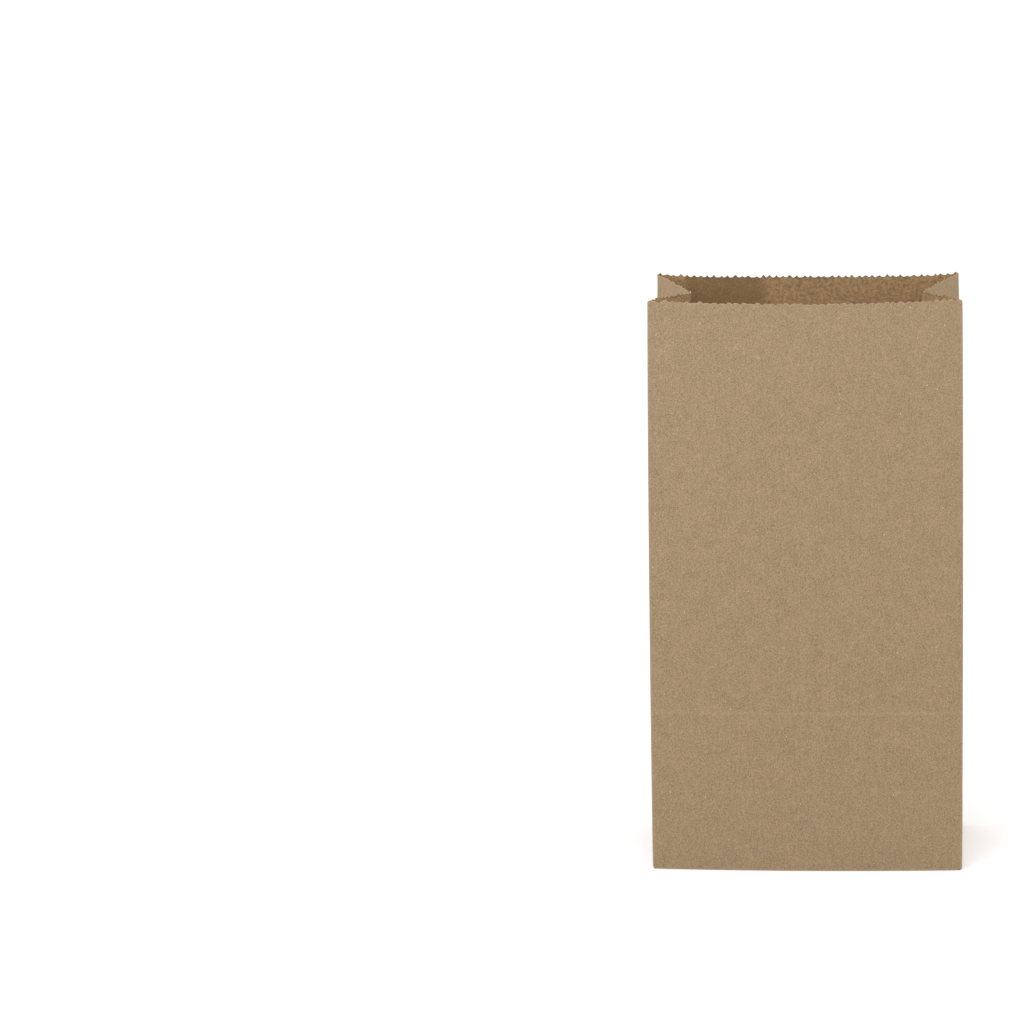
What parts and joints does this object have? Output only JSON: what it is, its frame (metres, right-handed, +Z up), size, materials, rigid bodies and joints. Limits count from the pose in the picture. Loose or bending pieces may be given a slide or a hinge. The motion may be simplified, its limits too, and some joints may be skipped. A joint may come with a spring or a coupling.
{
  "type": "paper lunch bag",
  "caption": "Brown kraft paper bag standing open, with a flat folded base, gusseted sides drawn in at the mouth and a pinked rim.",
  "frame": {"origin": "middle of the base rectangle, on the surface that the bag stands on", "axes": "+Z up out of the open mouth, +Y from the front panel to the back panel, +X to the right seen from the front"},
  "size_m": [0.1524, 0.083, 0.2828],
  "materials": {
    "kraft_paper": "matt unbleached kraft paper with fine fibres and flecks"
  },
  "bodies": {
    "root": {"paper_bag": "kraft_paper"}
  },
  "joints": []
}
